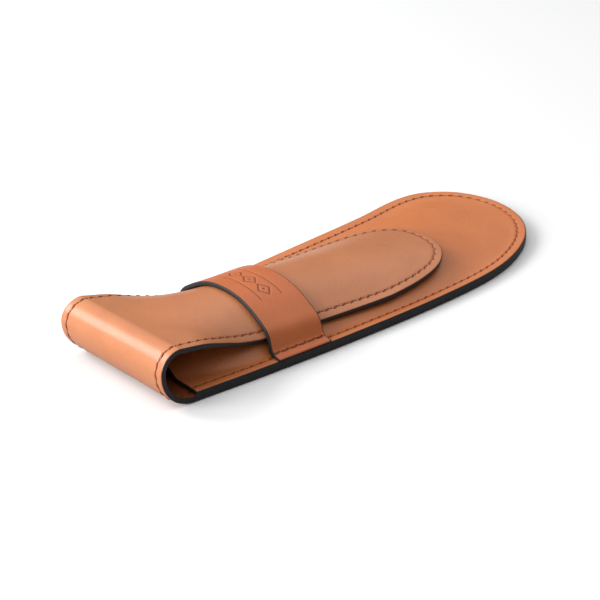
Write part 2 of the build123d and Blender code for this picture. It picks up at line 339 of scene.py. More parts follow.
def sheet_loops(place, rows, top, bottom, edge, rim=RIM, pull_top=0.0, pull_bottom=0.0, lip=None):
    """Closed loops round a sheet: top columns, far edge, bottom columns, near edge.

    edge lists (distance, depth) pairs of the cut edge's section from top to bottom, for all rows or each row.
    pull_top and pull_bottom scale the stitching groove of either face. lip is the extra depth of each row.
    """
    (near, near_in), (far, far_in) = rows
    count = len(near)
    near_scale = slant(place, near, near_in)[:, None, None] * near_in[:, None, :]
    far_scale = slant(place, far, far_in)[:, None, None] * far_in[:, None, :]
    near_rim = near[:, None, :] + near_scale * rim[None, :, None]
    far_rim = far[:, None, :] + far_scale * rim[None, ::-1, None]
    share = np.linspace(0, 1, MIDDLE_COLUMNS + 2)[1:-1][None, :, None]
    middle = near_rim[:, -1:, :] * (1 - share) + far_rim[:, :1, :] * share
    face = np.concatenate([near_rim, middle, far_rim], 1)
    across = np.concatenate([rim, np.full(MIDDLE_COLUMNS, MID_SHEET), rim[::-1]])
    edge = np.asarray(edge, float)
    edge = np.broadcast_to(edge, (count, *edge.shape[-2:]))
    lip = np.zeros((count, 1)) if lip is None else lip[:, None]
    upper = place(face, top + rounding(across) + pull_top * groove(across) + lip)
    lower = place(face, bottom - pull_bottom * groove(across) - lip)
    far_wall = place(far[:, None, :] + far_scale * edge[:, :, :1], edge[:, :, 1])
    near_wall = place(near[:, None, :] + near_scale * edge[:, :, :1], edge[:, :, 1])
    loops = np.concatenate([upper, far_wall, lower[:, ::-1], near_wall[:, ::-1]], 1)
    walls = edge.shape[1]
    distance = np.concatenate([across, np.zeros(walls), across[::-1], np.zeros(walls)])
    return loops, distance, upper.shape[1], walls


def grid_normals(loops):
    """Outward normals of closed loops, from their neighbours."""
    along = np.gradient(loops, axis=0)
    around = np.roll(loops, -1, 1) - np.roll(loops, 1, 1)
    return unit(np.cross(along, around))


def volume(points, faces):
    """Enclosed volume, negative if the faces turn inward."""
    fans = np.array([(face[0], face[k], face[k + 1]) for face in faces for k in range(1, len(face) - 1)])
    a, b, c = (points[fans[:, k]] for k in range(3))
    return np.einsum("ij,ij->i", a, np.cross(b, c)).sum() / 6


def build(name, points, faces, materials, kinds, distance=None, normals=None, sharp=()):
    """A smooth mesh in metres that keeps where each point is at rest and how far it is from a cut edge.

    kinds gives the number of each face's material, and edges between two points in sharp stay sharp.
    """
    if volume(points, faces) < 0:
        faces = [tuple(face[::-1]) for face in faces]
    mesh = bpy.data.meshes.new(name)
    mesh.from_pydata((points * MM).tolist(), [], faces)
    used = sorted(set(kinds))
    for kind in used:
        mesh.materials.append(materials[kind])
    mesh.polygons.foreach_set("material_index", [used.index(kind) for kind in kinds])
    mesh.polygons.foreach_set("use_smooth", np.ones(len(faces), bool))
    rest = mesh.attributes.new("rest", "FLOAT_VECTOR", "POINT")
    rest.data.foreach_set("vector", (points * MM).astype(np.float32).ravel())
    if distance is not None:
        mark = mesh.attributes.new("rim", "FLOAT", "POINT")
        mark.data.foreach_set("value", np.asarray(distance, np.float32))
    for edge in mesh.edges:
        if edge.vertices[0] in sharp and edge.vertices[1] in sharp:
            edge.use_edge_sharp = True
    if normals is not None:
        mesh.normals_split_custom_set_from_vertices(normals.tolist())
    piece = bpy.data.objects.new(name, mesh)
    bpy.context.scene.collection.objects.link(piece)
    return piece


def tip_index(rows, ring, top, walls):
    """Point numbers of the loops, with the two borders joined in the last row, where they meet at the tip."""
    index = np.arange(rows * ring).reshape(rows, ring)
    columns = np.arange(top)
    low = 2 * top + walls - 1
    border = (top - MIDDLE_COLUMNS) // 2
    paired = np.minimum(np.minimum(columns, top - 1 - columns), border - 1)
    index[-1, :top] = index[-1, paired]
    index[-1, low - columns] = index[-1, low - paired]
    index[-1, top:top + walls] = index[-1, ring - 1 - np.arange(walls)]
    return index


def side_faces(index, kind, paint_rows):
    """Faces between neighbouring loops, without repeated corners, and their kinds."""
    rows, ring = index.shape
    faces, kinds = [], []
    for i in range(rows - 1):
        for j in range(ring):
            k = (j + 1) % ring
            corners = (index[i, j], index[i + 1, j], index[i + 1, k], index[i, k])
            corners = tuple(int(v) for n, v in enumerate(corners) if v != corners[n - 1])
            if len(set(corners)) == len(corners) > 2:
                faces.append(corners)
                kinds.append(EDGE_KIND if i in paint_rows else int(kind[j]))
    return faces, kinds


def end_faces(base, top, walls, ring):
    """Faces that close the loop whose points are numbered from base."""
    low = 2 * top + walls - 1
    flat = [(base + j, base + j + 1, base + low - j - 1, base + low - j) for j in range(top - 1)]
    far_end = tuple(range(base + top - 1, base + top + walls + 1))
    near_end = tuple(base + j % ring for j in range(low, ring + 1))
    return [*flat, far_end, near_end]


def sheet(name, parts, materials, closes_at_tip=False, paint_rows=(), normals=None):
    """One sheet of leather as a closed mesh, out of what sheet_loops gives.

    materials are those of the upper face, the cut edge and the lower face. Rows in paint_rows are all edge.
    """
    loops, distance, top, walls = parts
    rows, ring = loops.shape[:2]
    low = 2 * top + walls - 1
    column = np.arange(ring)
    is_wall = (column >= top) & (column < top + walls - 1) | (column > low) & (column < ring - 1)
    is_upper = (column < top + walls) | (column == ring - 1)
    kind = np.where(is_wall, EDGE_KIND, np.where(is_upper, UPPER_KIND, LOWER_KIND))
    index = tip_index(rows, ring, top, walls) if closes_at_tip else np.arange(rows * ring).reshape(rows, ring)
    faces, kinds = side_faces(index, kind, paint_rows)
    cap_rows = (0,) if closes_at_tip else (0, rows - 1)
    for row in cap_rows:
        caps = end_faces(row * ring, top, walls, ring)
        faces += caps if row == 0 else [face[::-1] for face in caps]
        kinds += [EDGE_KIND] * len(caps)
    sharp = {row * ring + j for row in cap_rows for j in range(ring)}
    used = sorted({v for face in faces for v in face})
    renumber = np.full(rows * ring, -1)
    renumber[used] = np.arange(len(used))
    faces = [tuple(int(renumber[v]) for v in face) for face in faces]
    distance = np.broadcast_to(distance, (rows, ring)).ravel()[used]
    normals = None if normals is None else normals.reshape(-1, 3)[used]
    sharp = {int(renumber[v]) for v in sharp}
    return build(name, loops.reshape(-1, 3)[used], faces, materials, kinds, distance, normals, sharp)


# ---- materials: colours are linear, scales are per metre of leather and bump depths are in metres ----
STAMP_TONE = (0.10, 0.022, 0.008)


class Shader:
    """A node material under construction. Textures follow the leather's place at rest."""

    def __init__(self, name, colour, roughness):
        self.material = bpy.data.materials.new(name)
        self.material.use_nodes = True
        self.material.diffuse_color = (*colour, 1)
        self.tree = self.material.node_tree
        self.surface = self.tree.nodes["Principled BSDF"]
        self.rest = self.attribute("rest", "Vector")
        self.give("Base Color", (*colour, 1))
        self.give("Roughness", roughness)

    def node(self, kind, inputs=(), **settings):
        made = self.tree.nodes.new(kind)
        for key, value in settings.items():
            setattr(made, key, value)
        for key, value in dict(inputs).items():
            self.feed(made.inputs[key], value)
        return made

    def feed(self, socket, value):
        if isinstance(value, bpy.types.NodeSocket):
            self.tree.links.new(value, socket)
        else:
            socket.default_value = value

    def give(self, name, value):
        self.feed(self.surface.inputs[name], value)

    def attribute(self, name, output):
        return self.node("ShaderNodeAttribute", attribute_name=name).outputs[output]

    def noise(self, scale, detail=2.0, distortion=0.0):
        inputs = {"Vector": self.rest, "Scale": scale, "Detail": detail, "Distortion": distortion}
        return self.node("ShaderNodeTexNoise", inputs).outputs["Fac"]

    def cells(self, scale, feature="F1"):
        return self.node("ShaderNodeTexVoronoi", {"Vector": self.rest, "Scale": scale},
                         feature=feature).outputs["Distance"]

    def spread(self, value, source, target, smooth=False):
        """Maps the value from the range source to the range target."""
        inputs = {"Value": value, "From Min": source[0], "From Max": source[1],
                  "To Min": target[0], "To Max": target[1]}
        kind = "SMOOTHSTEP" if smooth else "LINEAR"
        return self.node("ShaderNodeMapRange", inputs, interpolation_type=kind).outputs["Result"]

    def math(self, a, operation, b):
        return self.node("ShaderNodeMath", {0: a, 1: b}, operation=operation).outputs["Value"]

    def mix(self, amount, a, b):
        """Colour a where amount is 0, and b where it is 1."""
        made = self.node("ShaderNodeMix", data_type="RGBA")
        self.feed(made.inputs["Factor"], amount)
        first, second, result = made.inputs[6], made.inputs[7], made.outputs[2]     # its colour sockets
        for socket, value in ((first, a), (second, b)):
            self.feed(socket, (*value, 1) if isinstance(value, tuple) else value)
        return result

    def bump(self, *layers):
        """Bumps stacked from (height, depth in metres) pairs."""
        normal = None
        for height, depth in layers:
            inputs = {"Height": height, "Distance": depth, "Strength": 1.0}
            if normal:
                inputs["Normal"] = normal
            normal = self.node("ShaderNodeBump", inputs).outputs["Normal"]
        self.give("Normal", normal)


def times(colour, *factors):
    """The colour times one factor, or times a factor for each channel."""
    return tuple(channel * factor for channel, factor in zip(colour, factors * (3 // len(factors))))


def grain_leather(name, colour, polish=0.3, stamped=False):
    """Smooth polished calf: cloudy tan with fine pores, darker along the seam and towards the cut edges."""
    shader = Shader(name, colour, 0.42)
    dark = times(colour, 0.78, 0.68, 0.62)
    light = times(colour, 1.05, 1.10, 1.14)
    mottle = shader.spread(shader.noise(240, 2), (0, 1), (-0.12, 0.12))
    clouds = shader.math(shader.noise(38, 3, 0.4), "ADD", mottle)
    tone = shader.mix(shader.spread(clouds, (0.3, 0.72), (0, 1)), times(colour, 0.93), light)
    pores = shader.spread(shader.cells(1500), (0.0, 0.28), (0.30, 0.0))
    tone = shader.mix(pores, tone, dark)
    rim = shader.attribute("rim", "Fac")
    rim_wear = shader.math(rim, "ADD", shader.noise(420, 2))
    tone = shader.mix(shader.spread(rim_wear, (0.55, 1.35), (0.55, 0.0), smooth=True), tone, dark)
    from_seam = shader.math(shader.math(rim, "SUBTRACT", SEAM_INSET), "POWER", 2)
    tone = shader.mix(shader.spread(from_seam, (0.0, 0.5), (0.42, 0.0), smooth=True), tone, dark)
    if stamped:
        stamp = shader.spread(shader.attribute("stamp", "Fac"), (0.15, 0.9), (0, 0.82))
        tone = shader.mix(stamp, tone, STAMP_TONE)
    shader.give("Base Color", tone)
    shader.give("Roughness", shader.spread(shader.noise(900, 4), (0.25, 0.75), (0.40, 0.52)))
    shader.give("Specular IOR Level", 0.38)
    shader.give("Coat Weight", polish)
    shader.give("Coat Roughness", 0.22)
    shader.bump((shader.noise(160, 3, 0.6), 0.00010), (shader.cells(1250, "SMOOTH_F1"), 0.000045),
                (shader.noise(3200, 3), 0.00003))
    return shader.material


def lining_leather(name, colour):
    """Redder, drier lining leather with a nap."""
    shader = Shader(name, colour, 0.68)
    clouds = shader.spread(shader.noise(90, 4, 0.5), (0.3, 0.7), (0, 1))
    tone = shader.mix(clouds, times(colour, 0.72), times(colour, 1.15))
    nap = shader.spread(shader.noise(2600, 3), (0.35, 0.7), (0, 0.35))
    tone = shader.mix(nap, tone, times(colour, 0.5))
    shader.give("Base Color", tone)
    shader.give("Roughness", shader.spread(shader.noise(700, 3), (0.2, 0.8), (0.58, 0.76)))
    shader.give("Specular IOR Level", 0.15)
    shader.bump((shader.noise(1100, 4, 0.8), 0.00010), (shader.noise(4200, 2), 0.00005))
    return shader.material


def edge_paint(name, colour):
    """Charcoal edge paint, slightly uneven and satin."""
    shader = Shader(name, colour, 0.42)
    shader.give("Specular IOR Level", 0.22)
    shader.give("Base Color", shader.mix(shader.noise(600, 3), times(colour, 0.7), times(colour, 1.5)))
    shader.give("Roughness", shader.spread(shader.noise(1500, 3), (0.3, 0.7), (0.36, 0.55)))
    shader.bump((shader.noise(700, 3, 0.5), 0.00012), (shader.noise(2600, 2), 0.00004))
    return shader.material


def waxed_thread(name, colour):
    """Waxed two-ply thread with fine fibres along the twist."""
    shader = Shader(name, colour, 0.5)
    strands = shader.spread(shader.noise(2600, 3), (0.3, 0.7), (0, 1))
    shader.give("Base Color", shader.mix(strands, times(colour, 0.6), times(colour, 1.3)))
    shader.give("Roughness", shader.spread(shader.noise(1800, 2), (0.3, 0.7), (0.42, 0.6)))
    shader.give("Specular IOR Level", 0.3)
    shader.bump((shader.noise(6000, 2), 0.00004))
    return shader.material


def painted_hole_shade(name, colour):
    """Painted shade of a stitch hole: a near-black colour that stands for the shadow inside it."""
    shader = Shader(name, colour, 0.85)
    shader.give("Base Color", shader.mix(shader.noise(2500, 2), (0.012, 0.004, 0.003), (0.03, 0.010, 0.006)))
    shader.bump((shader.noise(4000, 2), 0.00004))
    return shader.material


GRAIN = grain_leather("tan_grain", (0.51, 0.152, 0.045), polish=0.2)
# The roll, flap and back's tan is paler and less red than the panel's: partly its own tone, partly painted
# sheen.
STRIP_GRAIN_SHEEN_TINT = grain_leather("tan_grain_strip_painted_sheen", (0.43, 0.150, 0.058))
# The keeper band's tan is darker and redder than the panel's: partly its own tone, partly painted shade of
# its near side.
STRAP_GRAIN_SHADE_TINT = grain_leather("tan_grain_strap_painted_shade", (0.435, 0.109, 0.031), polish=0.1, stamped=True)
# The lining's colour is about half as bright as the outer tan: partly its own redder tone, partly painted
# shade of the case's inside.
SHADED_LINING = lining_leather("russet_lining_painted_shade", (0.25, 0.062, 0.020))
PAINT = edge_paint("charcoal_edge", (0.017, 0.0165, 0.018))
THREAD = waxed_thread("chestnut_thread", (0.25, 0.052, 0.016))
# near-black discs at the stitch holes: painted shade of the holes
HOLE_SHADE = painted_hole_shade("painted_hole_shade", (0.02, 0.006, 0.004))
# Materials of a sheet's upper face, cut edge and lower face
SKIN = (GRAIN, PAINT, SHADED_LINING)
STRIP_SKIN = (STRIP_GRAIN_SHEEN_TINT, PAINT, SHADED_LINING)
STRAP_SKIN = (STRAP_GRAIN_SHADE_TINT, PAINT, SHADED_LINING)
LINING_SKIN = (SHADED_LINING, SHADED_LINING, SHADED_LINING)


# ---- case: back, lining and front panel ----

def evenly(length, step):
    """Shares from 0 to 1 in steps of about step mm."""
    return np.linspace(0, 1, int(np.ceil(length / step)) + 1)


def place_back(plan, depth):
    x = plan[..., 0]
    return np.stack([x, plan[..., 1], np.broadcast_to(depth, x.shape)], -1)


def bordered(line, shares):
    """Rows of the pocket, whose seam runs further in at the toe and on the far side than on the near one."""
    (near, near_in), (far, far_in) = leaf_rows(line, shares)
    near_in = near_in * follow([(0, 1), (0.6, 1), (1, 1.22)], shares)[:, None]
    far_in = far_in * follow([(0, 1), (0.3, 1), (0.45, 1.35), (0.8, 1.35), (1, 1.22)], shares)[:, None]
    return [(near, near_in), (far, far_in)]


POCKET_SIDE = 190        # about the length of the outline from the mouth to the toe
ROW_STEP = 1.1
NECK_X = [LOWER_X, -0.5, -0.02]            # straight rows of the back, from the fold to the mouth
pocket_line = smooth_line(OUTLINE)
pocket_rows = bordered(pocket_line, evenly(POCKET_SIDE, ROW_STEP))
neck_rows = straight_rows(np.array(NECK_X), STRIP_HALF)
back_rows = joined(neck_rows, pocket_rows)
lining_rim = np.maximum(RIM, LINING_INSET)
lining_edge = [(LINING_INSET, OUTER_THICK + 0.12), (LINING_INSET, STRIP_THICK - 0.1)]
lining_depths = dict(top=OUTER_THICK + LAYER_GAP, bottom=STRIP_THICK, edge=lining_edge, rim=lining_rim,
                     pull_bottom=1)


def finish_piece(piece, body, slot, *nodes):
    """Gives a piece its body and hides the CAD nodes it stands for. slot is not used."""
    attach(piece, body)
    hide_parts(*nodes)


def make_back():
    """The back's outer leather, with a painted edge as high as the pocket's whole stack, and its lining."""
    strip = cut_edge(STRIP_THICK)
    stack = cut_edge(PANEL_TOP)[:-1] + [(PAINT_WRAP + 0.02, PANEL_TOP - 0.15)]
    edges = [strip] * len(NECK_X) + [stack] * len(pocket_rows[0][0])
    parts = sheet_loops(place_back, back_rows, 0, OUTER_THICK, edges, pull_top=2)
    outer = sheet("back_leather", parts, STRIP_SKIN, closes_at_tip=True)
    finish_piece(outer, "case", "grain", "back_outer")
    parts = sheet_loops(place_back, back_rows, **lining_depths)
    lining = sheet("back_lining_leather", parts, LINING_SKIN, closes_at_tip=True)
    finish_piece(lining, "case", "lining", "back_lining")


def make_panel():
    """The domed front, with a rounded painted edge across the mouth."""
    length = lengths(pocket_line)[-1] / 2
    lip_rows = EDGE_STEPS / length
    rows = bordered(pocket_line, np.concatenate([lip_rows, evenly(POCKET_SIDE, ROW_STEP)[1:]]))
    rim = np.concatenate([[PAINT_WRAP], RIM])
    edge = [(PANEL_INSET, 0.2), (PANEL_INSET, PANEL_THICK - 0.1)]
    lip = rounding(rows[0][0][:, 0])
    parts = sheet_loops(place_panel, rows, 0, PANEL_THICK, edge, rim, pull_top=1, lip=lip)
    panel = sheet("front_panel_leather", parts, SKIN, closes_at_tip=True, paint_rows=(0, 1))
    finish_piece(panel, "case", "grain", "front_panel")


# ---- keeper band ----
BAND_STEP = 0.25         # between its rows
BAND_COLUMNS = 240
CUT_COLUMNS = 2          # at its cut ends
CUT_BULGE, CUT_DROP, CUT_RISE = 0.05, 0.12, 0.1      # of these past its face, below its top, above its inside
BAND_GROOVE, BAND_ROUNDING = 0.9, 0.6      # shares of a thick sheet's groove and of its rounding
BAND_SOFTENING = 40      # rounds of smoothing of its section
ARCH_POINTS = 25
ARCH_REACH = 0.96        # of the flap's half width
ARCH_CLEARANCE = (0.3, 0.4)                # over the flap's middle, and how much more at its edges
FOOT = np.array([(0.02, 0), (2.6, 0), (3.9, 0.12), (4.9, 1.6)])     # (in from the edge, up) of its ends
FOOT_COLUMNS = 30
FOOT_THIN = 0.7          # skived thickness at the ends of the band
FOOT_TAPER = 4.6
STAMP_DEPTH = 0.2
STAMP_SOFT = 0.16        # width over which its lines fade
RULE_AT, RULE_LONG, RULE_HALF = 4.4, 11.0, 0.2       # where its two rules run, how far, and half how wide
LOZENGE_STEP = 7.0
LOZENGE_LONG, LOZENGE_WIDE, LOZENGE_LINE = 2.9, 2.3, 0.24
LOZENGE_SLOPE = 1.3 * np.sqrt(2)           # millimetres across its line per share of its size
PIP_RADIUS = 0.45


def pocket_sides(x):
    """Near and far y of the pocket's outline at x."""
    split = int(np.argmax(pocket_line[:, 0]))
    near, far = pocket_line[:split + 1], pocket_line[split:][::-1]
    return np.interp(x, near[:, 0], near[:, 1]), np.interp(x, far[:, 0], far[:, 1])


def band_section(x):
    """The band's section at x: its inner line as (y, z) points, their outward normals and how far each is
    from the nearer end."""
    near, far = pocket_sides(x)
    share = np.linspace(-ARCH_REACH, ARCH_REACH, ARCH_POINTS)
    y = share * follow(HALF, x)
    arched = np.stack([y, flap_height(np.full(ARCH_POINTS, x), y)], 1)
    along = unit(np.gradient(arched, axis=0))
    clearance = ARCH_CLEARANCE[0] + ARCH_CLEARANCE[1] * share[:, None] ** 4
    arched += clearance * np.stack([-along[:, 1], along[:, 0]], 1)
    start = np.stack([near + FOOT[:, 0], BAND_LOW + FOOT[:, 1]], 1)
    stop = np.stack([far - FOOT[:, 0], BAND_LOW + FOOT[:, 1]], 1)[::-1]
    line = smooth_line(np.concatenate([start, arched, stop]))
    line = resample(line, np.linspace(0, lengths(line)[-1], BAND_COLUMNS))
    for _ in range(BAND_SOFTENING):
        line[1:-1] = (line[:-2] + 2 * line[1:-1] + line[2:]) / 4
    run = lengths(line)
    along = unit(np.gradient(line, axis=0))
    return line, np.stack([-along[:, 1], along[:, 0]], 1), np.minimum(run, run[-1] - run)


def band_thickness(distance):
    return FOOT_THIN + (BAND_THICK - FOOT_THIN) * ease(distance, 0, FOOT_TAPER)


def band_top(x, y):
    """Height of the band's outside over a point of its foot."""
    line, out, distance = band_section(x)
    outer = line + out * band_thickness(distance)[:, None]
    foot = slice(0, FOOT_COLUMNS) if y < 0 else slice(-FOOT_COLUMNS, None)
    order = np.argsort(outer[foot, 0])
    return np.interp(y, outer[foot, 0][order], outer[foot, 1][order])


def stamp_mask(along, across):
    """Pressed ornament, from 0 to 1: two rules with three lozenges between them, in mm from its middle."""
    rule = np.abs(np.abs(along) - RULE_AT) - RULE_HALF
    rule = np.where(np.abs(across) < RULE_LONG, rule, MID_SHEET)
    middle = np.round(across / LOZENGE_STEP).clip(-1, 1) * LOZENGE_STEP
    size = np.abs(across - middle) / LOZENGE_LONG + np.abs(along) / LOZENGE_WIDE
    lozenge = LOZENGE_SLOPE * np.abs(size - 1) - LOZENGE_LINE
    pip = np.hypot(across - middle, along) - PIP_RADIUS
    nearest = np.minimum(np.minimum(rule, lozenge), pip)
    return np.clip(0.5 - nearest / (2 * STAMP_SOFT), 0, 1)


def band_ring(x):
    """One closed loop round the band at x, with the stamp and the distance from a cut edge of its points."""
    line, out, distance = band_section(x)
    lip = rounding(min(x - BAND_START, BAND_END - x))
    run = lengths(line)
    crest = run[np.argmax(line[:, 1])]
    stamp = stamp_mask(x - (BAND_START + BAND_END) / 2, run - crest)
    depth = STAMP_DEPTH * stamp + BAND_GROOVE * groove(distance) + BAND_ROUNDING * rounding(distance)
    outer = line + out * (band_thickness(distance) - lip - depth)[:, None]
    inner = line + out * lip
    far_end = [outer[-1] + (CUT_BULGE, -CUT_DROP), inner[-1] + (CUT_BULGE, CUT_RISE)]
    near_end = [inner[0] + (-CUT_BULGE, CUT_RISE), outer[0] + (-CUT_BULGE, -CUT_DROP)]
    ring = np.concatenate([outer, far_end, inner[::-1], near_end])
    ends, inside = [0, 0], np.full(len(line), MID_SHEET)
    stamps = np.concatenate([stamp, np.zeros(len(ring) - len(stamp))])
    rims = np.concatenate([np.minimum(distance, MID_SHEET), ends, inside, ends])
    return np.column_stack([np.full(len(ring), x), ring]), stamps, rims


def make_band():
    inside = np.arange(BAND_START + 0.75, BAND_END - 0.7, BAND_STEP)
    stations = np.concatenate([BAND_START + EDGE_STEPS, inside, BAND_END - EDGE_STEPS[::-1]])
    loops, stamps, rims = zip(*(band_ring(x) for x in stations))
    last = len(stations) - 2
    painted = (0, 1, 2, last - 2, last - 1, last)
    parts = np.array(loops), np.array(rims), BAND_COLUMNS, CUT_COLUMNS
    band = sheet("keeper_strap", parts, STRAP_SKIN, paint_rows=painted)
    mark = band.data.attributes.new("stamp", "FLOAT", "POINT")
    mark.data.foreach_set("value", np.array(stamps, np.float32).ravel())
    finish_piece(band, "case", "grain", "keeper_band")


# ---- strip: the roll and the flap ----
FIRST_HINGE = 3.0
HINGE_STEP = 2 * STITCH_PITCH
BODIES = list(frame["bodies"])             # in order: the case, four lengths of the fold, the flap
ZONES = len(BODIES) - 1
ZONE_RUNS = [0] + [FIRST_HINGE + (i + 0.5) * HINGE_STEP for i in range(ZONES)]
FLAP_SIDE = 140          # about the length of the flap's outline from the roll to the tip
FLAP_STEP = 1.0

far_side = [(x, half) for x, half in HALF if x <= TIP_START]
near_side = [(x, -half) for x, half in far_side]
flap_line = smooth_line(near_side + TIP + far_side[::-1])
flap_line[:, 0] += FOLD_RUN - UPPER_X      # from x to run


def strip_half(run):
    """Half width of the strip at a run."""
    near = flap_line[:int(np.argmax(flap_line[:, 0]))]
    return np.where(run < FOLD_RUN, STRIP_HALF, -np.interp(run, near[:, 0], near[:, 1]))


def cut_at(line, run):
    """The part of an outline past a run, square at its ends."""
    half = float(strip_half(np.array(run)))
    return np.concatenate([[(run, -half)], line[line[:, 0] > run], [(run, half)]])


leaf_line = cut_at(flap_line, ZONE_RUNS[-1])
leaf = leaf_rows(leaf_line, evenly(FLAP_SIDE, FLAP_STEP))


def zone_rows(start, end, step=0.45):
    """Straight rows of the strip between two runs."""
    runs = np.linspace(start, end, int(np.ceil((end - start) / step)) + 1)
    return straight_rows(runs, strip_half(runs))


def bend_span(start, end):
    """Start and end of a bend between two runs, in metres, that leave both end rows rigid."""
    y = np.linspace(-STRIP_HALF, STRIP_HALF, 9)
    ends = []
    for run in (start, end):
        plan = np.stack([np.full(len(y), run), y], 1)
        ends.append(np.concatenate([place_strip(plan, depth) for depth in (0, STRIP_THICK)]))
    first, last = ends[0].mean(0), ends[1].mean(0)
    along = unit(last - first)
    first = first + along * ((ends[0] - first) @ along).max()
    last = last + along * ((ends[1] - last) @ along).min()
    return (first * MM).tolist(), (last * MM).tolist()


LAYERS = {
    "leather": dict(top=0, bottom=OUTER_THICK, edge=cut_edge(STRIP_THICK), pull_top=1),
    "lining": lining_depths,
}
LAYER_SKIN = {"leather": STRIP_SKIN, "lining": LINING_SKIN}
LAYER_NODE = {"leather": "outer", "lining": "lining"}
LAYER_SLOT = {"leather": "grain", "lining": "lining"}


def row_at(run):
    """One straight row of the strip."""
    return straight_rows(np.array([run]), strip_half(np.array([run])))


def make_zone(zone, layer):
    """One length of the strip's roll, with normals that go on smoothly in its neighbours."""
    start, end = ZONE_RUNS[zone], ZONE_RUNS[zone + 1]
    rows = zone_rows(start, end)
    step = rows[0][0][1, 0] - start
    wider = joined(row_at(start - step), rows, row_at(end + step))
    normals = grid_normals(sheet_loops(place_strip, wider, **LAYERS[layer])[0])[1:-1]
    parts = sheet_loops(place_strip, rows, **LAYERS[layer])
    piece = sheet(f"roll_{zone + 1}_{layer}", parts, LAYER_SKIN[layer], normals=normals)
    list(bend_span(start, end))
    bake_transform(piece)
    stands_for = BODIES[min(zone + 1, ZONES - 1)]      # the last two lengths share fold_4's node
    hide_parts(f"{stands_for}_{LAYER_NODE[layer]}")


def make_flap(layer):
    """The flap past the roll. Its first row has the roll's normals, the others (given as zero) their own."""
    rows = joined(row_at(ZONE_RUNS[-1] - 1.0), leaf)
    normals = grid_normals(sheet_loops(place_strip, rows, **LAYERS[layer])[0])[1:]
    normals[1:] = 0
    parts = sheet_loops(place_strip, leaf, **LAYERS[layer])
    piece = sheet(f"flap_{layer}", parts, LAYER_SKIN[layer], closes_at_tip=True, normals=normals)
    finish_piece(piece, "flap", LAYER_SLOT[layer], f"flap_{LAYER_NODE[layer]}")


# ---- stitching, mm ----
THREAD_RADIUS = 0.39
THREAD_FLAT = 0.75       # its height as a share of its width
STITCH_SHARE = 0.76      # of the pitch, the rest is the hole
STITCH_SLANT = 0.40
STITCH_TWIST = 1.3       # turn of its section from the middle to either end, radians
STITCH_TAPER = 0.45
STITCH_LIFT = 0.10
STITCH_DIVE = 0.5        # how deep its ends go
TOP_SINK, UNDER_SINK = 0.14, 0.38          # how deep a seam lies in its face, and under the case
RINGS, SIDES = 9, 6
HOLE_RADIUS = 0.66
HOLE_SIDES = 8
HOLE_RISE, HOLE_DEPTH = 0.02, 0.25


def seam_plan(place, rows):
    """Holes and stitch middles, in turn, along a seam that follows the edge of the rows, in plan."""
    (near, near_in), (far, far_in) = rows
    near = near + near_in * SEAM_INSET * slant(place, near, near_in)[:, None]
    far = far + far_in * SEAM_INSET * slant(place, far, far_in)[:, None]
    line = np.concatenate([near, far[-2::-1]])
    run = lengths(place(line, np.zeros(len(line))))
    count = round(run[-1] / STITCH_PITCH)
    even = np.linspace(0, run[-1], 2 * count + 1)
    return np.stack([np.interp(even, run, line[:, k]) for k in (0, 1)], 1)


def seam_frames(place, plan, depth, face):
    """Hole and stitch places of a seam, with directions along it, outward and sideways."""
    points = place(plan, np.full(len(plan), float(depth)))
    raised = place(plan, np.full(len(plan), depth - 0.5 * face))
    out = unit(raised - points)
    along = unit(np.gradient(points, axis=0))
    return points, along, out, unit(np.cross(out, along))


def stitch_tubes(frames, middle, sink):
    """Points and faces of twisted tubes round the seam points in middle, which dive at both ends."""
    points, along, out, side = (values[middle][:, None, None] for values in frames)
    ends = frames[0][middle + 1] - frames[0][middle - 1]
    share = np.linspace(-1, 1, RINGS)
    angle = np.linspace(0, 2 * np.pi, SIDES, endpoint=False)[None, :] + STITCH_TWIST * share[:, None]
    taper = (1 - STITCH_TAPER * share ** 4)[:, None]
    across = THREAD_RADIUS * np.cos(angle) * taper + (STITCH_SLANT * share)[:, None]
    level = STITCH_LIFT - sink - STITCH_DIVE * np.abs(share) ** 3.2
    height = THREAD_FLAT * THREAD_RADIUS * np.sin(angle) * taper + level[:, None]
    reach = np.linalg.norm(ends, axis=1)[:, None, None] / 2 * STITCH_SHARE * share[None, :, None]
    tubes = points + along * reach[..., None] + side * across[None, ..., None] + out * height[None, ..., None]
    faces = []
    for base in range(0, len(middle) * RINGS * SIDES, RINGS * SIDES):
        for low in range(base, base + (RINGS - 1) * SIDES, SIDES):
            for j in range(SIDES):
                n = (j + 1) % SIDES
                faces.append((low + j, low + n, low + SIDES + n, low + SIDES + j))
        faces.append(tuple(base + j for j in range(SIDES))[::-1])
        faces.append(tuple(base + (RINGS - 1) * SIDES + j for j in range(SIDES)))
    return tubes.reshape(-1, 3), faces


def stitch_holes(frames, holes, sink, base):
    """Points, numbered from base, and faces of dark discs of painted hole shade over short cones at the seam
    points in holes.
    """
    points, along, out, side = frames
    turn = np.linspace(0, 2 * np.pi, HOLE_SIDES, endpoint=False)
    ring = np.stack([np.cos(turn), THREAD_FLAT * np.sin(turn)], 1) * HOLE_RADIUS
    pits, faces = [], []
    for hole in holes:
        level = points[hole] - out[hole] * (sink - HOLE_RISE)
        pits += [level + along[hole] * u + side[hole] * w for u, w in ring]
        pits += [level + out[hole] * HOLE_RISE, level - out[hole] * HOLE_DEPTH]
        crown, bottom = base + HOLE_SIDES, base + HOLE_SIDES + 1
        for j in range(HOLE_SIDES):
            here, following = base + j, base + (j + 1) % HOLE_SIDES
            faces.append((here, following, crown))
            faces.append((following, here, bottom))
        base += HOLE_SIDES + 2
    return np.array(pits), faces


